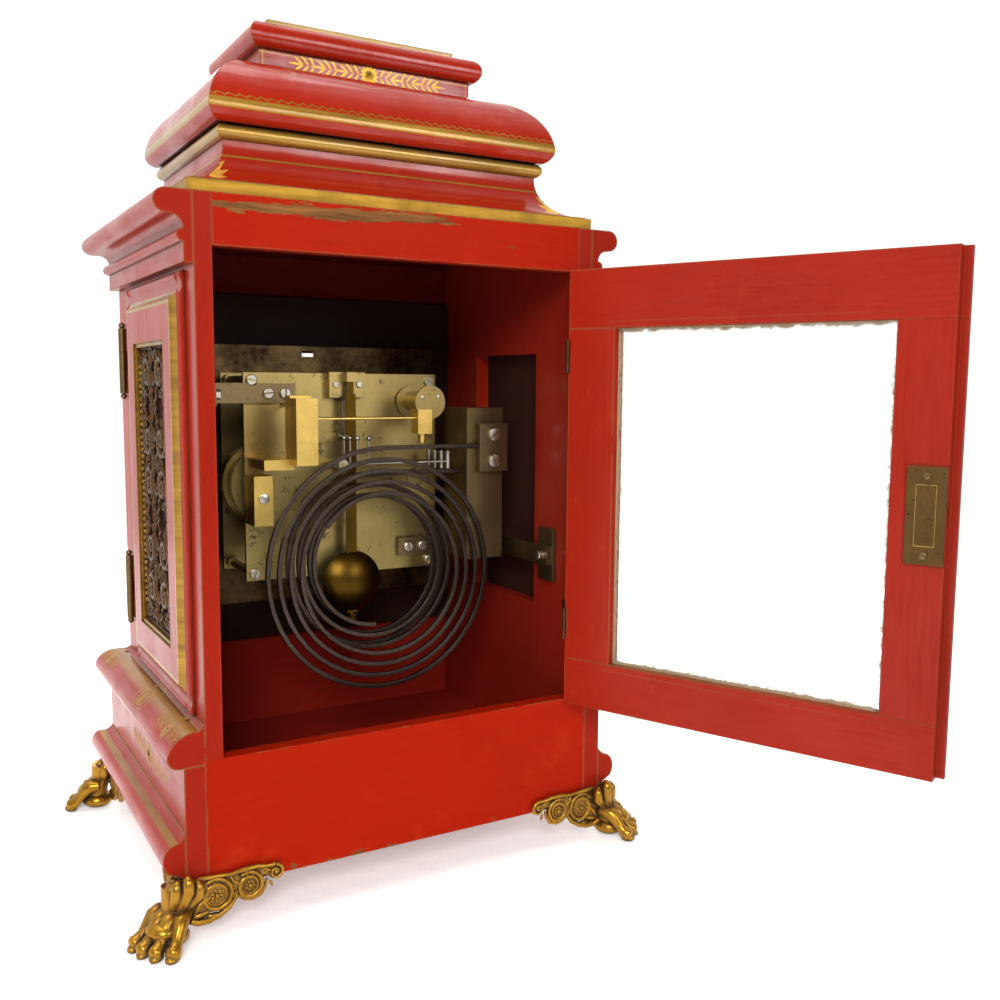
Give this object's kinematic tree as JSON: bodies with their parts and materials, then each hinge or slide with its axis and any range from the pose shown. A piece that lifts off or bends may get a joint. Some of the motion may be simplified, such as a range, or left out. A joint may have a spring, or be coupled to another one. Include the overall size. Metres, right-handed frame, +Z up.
{
  "type": "bracket clock",
  "caption": "Lacquered bracket clock seen from behind: stepped gilt top, plinth on paw feet, glazed doors, sprung movement with pendulum, coiled gongs and hammers.",
  "frame": {"origin": "on the floor under the middle of the case, the point the clock stands over", "axes": "+Z up, the dial faces -Y, the back door is at +Y, and +X is the clock's right, seen on the left from behind"},
  "size_m": [0.4686, 0.5671, 0.6482],
  "materials": {
    "red_lacquer": "gloss lacquer",
    "gilt_wood": "gilt",
    "gilt_brass": "gilt, polished",
    "hinge_brass": "satin",
    "red_cloth": "woven",
    "clear_glass": "clear",
    "dial_brass": "satin",
    "plate_brass": "aged",
    "blued_steel": "blued",
    "grey_steel": "aged",
    "lock_steel": "satin"
  },
  "bodies": {
    "case": {"side_panel_right": "red_lacquer", "side_panel_left": "red_lacquer", "back_top_rail": "red_lacquer", "base_back_panel": "red_lacquer", "carcass_boards": "red_lacquer", "cornice_moulding": "red_lacquer", "plinth_boards": "red_lacquer", "base_upper_moulding": "red_lacquer", "base_lower_moulding": "red_lacquer", "top_gilt_board": "gilt_wood", "top_cove": "red_lacquer", "top_cushion": "red_lacquer", "top_neck": "red_lacquer", "top_cap": "red_lacquer", "side_frames": "red_lacquer", "side_frets": "gilt_brass", "fret_cloths": "red_cloth", "paw_feet_back": "gilt_brass", "paw_feet_front": "gilt_brass", "back_hinge_case_leaves": "hinge_brass", "front_hinge_case_leaves": "hinge_brass", "dial_mask": "dial_brass", "dial_plate": "dial_brass", "back_plate": "plate_brass", "front_plate": "plate_brass", "movement_pillars": "plate_brass", "movement_brackets": "grey_steel", "gong_stand": "grey_steel", "hour_gong": "grey_steel", "quarter_gongs": "grey_steel", "back_cock": "plate_brass", "hammer_cocks": "grey_steel"},
    "back_door": {"back_door_frame": "red_lacquer", "back_door_glass": "clear_glass", "back_door_lock": "lock_steel", "back_hinge_door_leaves": "hinge_brass"},
    "back_bolt": {"back_door_bolt": "lock_steel"},
    "front_door": {"front_door_frame": "red_lacquer", "front_door_glass": "clear_glass", "front_door_fittings": "gilt_brass"},
    "front_latch": {"front_door_latch": "lock_steel"},
    "centre_arbor": {"centre_wheel": "plate_brass", "minute_hand": "blued_steel"},
    "going_drum": {"going_barrel": "plate_brass"},
    "third_arbor": {"third_wheel": "plate_brass"},
    "escape_arbor": {"escape_wheel": "plate_brass"},
    "minute_arbor": {"minute_wheel": "plate_brass"},
    "hour_pipe": {"hour_hand": "blued_steel"},
    "strike_drum": {"strike_barrel": "plate_brass"},
    "pin_wheel": {"strike_pin_wheel": "plate_brass"},
    "chime_spring_drum": {"chime_barrel": "plate_brass"},
    "chime_second": {"chime_second_wheel": "plate_brass"},
    "chime_pin_drum": {"chime_drum": "plate_brass"},
    "pendulum": {"pendulum": "plate_brass"},
    "pallets": {"pallets_and_crutch": "grey_steel"},
    "hour_hammer": {"hour_hammer": "plate_brass"},
    "quarter_hammer_1": {"quarter_hammer_1": "grey_steel"},
    "quarter_hammer_2": {"quarter_hammer_2": "grey_steel"},
    "quarter_hammer_3": {"quarter_hammer_3": "grey_steel"},
    "quarter_hammer_4": {"quarter_hammer_4": "grey_steel"}
  },
  "joints": [
    {"name": "back_door_swing", "type": "hinge", "parent": "case", "child": "back_door", "pos_m": [-0.145, 0.1281, 0.298], "axis": [0, 0, 1], "range_deg": [-113.7, 50]},
    {"name": "back_bolt_slide", "type": "slide", "parent": "back_door", "child": "back_bolt", "axis": [-0.4019, 0.9157, 0], "range_m": [0, 0.01]},
    {"name": "front_door_swing", "type": "hinge", "parent": "case", "child": "front_door", "pos_m": [0.1603, -0.10265, 0.304], "axis": [0, 0, 1], "range_deg": [0, 110]},
    {"name": "front_latch_slide", "type": "slide", "parent": "front_door", "child": "front_latch", "axis": [0, 0, 1], "range_m": [0, 0.004]},
    {"name": "centre_spin", "type": "hinge", "parent": "case", "child": "centre_arbor", "pos_m": [0, -0.045, 0.3], "axis": [0, 1, 0], "continuous": true},
    {"name": "going_drum_spin", "type": "hinge", "parent": "case", "child": "going_drum", "pos_m": [0, -0.045, 0.2636], "axis": [0, 1, 0], "continuous": true},
    {"name": "third_spin", "type": "hinge", "parent": "case", "child": "third_arbor", "pos_m": [-0.01095, -0.045, 0.32642], "axis": [0, 1, 0], "continuous": true},
    {"name": "escape_spin", "type": "hinge", "parent": "case", "child": "escape_arbor", "pos_m": [0, -0.045, 0.35], "axis": [0, 1, 0], "continuous": true},
    {"name": "minute_spin", "type": "hinge", "parent": "case", "child": "minute_arbor", "pos_m": [0.0108, -0.085, 0.28129], "axis": [0, 1, 0], "continuous": true},
    {"name": "hour_spin", "type": "hinge", "parent": "case", "child": "hour_pipe", "pos_m": [0, -0.095, 0.3], "axis": [0, 1, 0], "continuous": true},
    {"name": "strike_drum_spin", "type": "hinge", "parent": "case", "child": "strike_drum", "pos_m": [0.061, -0.045, 0.298], "axis": [0, 1, 0], "continuous": true},
    {"name": "pin_wheel_spin", "type": "hinge", "parent": "case", "child": "pin_wheel", "pos_m": [0.05468, -0.045, 0.33385], "axis": [0, 1, 0], "continuous": true},
    {"name": "chime_drum_spin", "type": "hinge", "parent": "case", "child": "chime_spring_drum", "pos_m": [-0.061, -0.045, 0.298], "axis": [0, 1, 0], "continuous": true},
    {"name": "chime_second_spin", "type": "hinge", "parent": "case", "child": "chime_second", "pos_m": [-0.0631, -0.045, 0.33434], "axis": [0, 1, 0], "continuous": true},
    {"name": "pin_drum_spin", "type": "hinge", "parent": "case", "child": "chime_pin_drum", "pos_m": [-0.0615, -0.045, 0.3665], "axis": [0, 1, 0], "continuous": true},
    {"name": "pendulum_swing", "type": "hinge", "parent": "case", "child": "pendulum", "pos_m": [0, 0.004, 0.378], "axis": [0, 1, 0], "range_deg": [-4, 4]},
    {"name": "pallets_swing", "type": "hinge", "parent": "case", "child": "pallets", "pos_m": [0, -0.045, 0.378], "axis": [0, 1, 0], "range_deg": [-4, 4]},
    {"name": "hour_hammer_lift", "type": "hinge", "parent": "case", "child": "hour_hammer", "pos_m": [0.054, 0.01, 0.3635], "axis": [0, 1, 0], "range_deg": [0, 12]},
    {"name": "quarter_hammer_1_lift", "type": "hinge", "parent": "case", "child": "quarter_hammer_1", "pos_m": [0.016, 0.0095, 0.316], "axis": [0, 1, 0], "range_deg": [0, 10]},
    {"name": "quarter_hammer_2_lift", "type": "hinge", "parent": "case", "child": "quarter_hammer_2", "pos_m": [0.016, 0.015, 0.316], "axis": [0, 1, 0], "range_deg": [0, 10]},
    {"name": "quarter_hammer_3_lift", "type": "hinge", "parent": "case", "child": "quarter_hammer_3", "pos_m": [0.016, 0.0205, 0.316], "axis": [0, 1, 0], "range_deg": [0, 10]},
    {"name": "quarter_hammer_4_lift", "type": "hinge", "parent": "case", "child": "quarter_hammer_4", "pos_m": [0.016, 0.026, 0.316], "axis": [0, 1, 0], "range_deg": [0, 10]}
  ],
  "couplings": [
    {"joint": "going_drum_spin", "follows": "centre_spin", "ratio": -0.083333},
    {"joint": "third_spin", "follows": "centre_spin", "ratio": -12},
    {"joint": "escape_spin", "follows": "centre_spin", "ratio": 144},
    {"joint": "minute_spin", "follows": "centre_spin", "ratio": -1},
    {"joint": "hour_spin", "follows": "centre_spin", "ratio": 0.083333},
    {"joint": "pin_wheel_spin", "follows": "strike_drum_spin", "ratio": -12},
    {"joint": "chime_second_spin", "follows": "chime_drum_spin", "ratio": -12},
    {"joint": "pin_drum_spin", "follows": "chime_drum_spin", "ratio": 57},
    {"joint": "pallets_swing", "follows": "pendulum_swing", "ratio": 1}
  ]
}
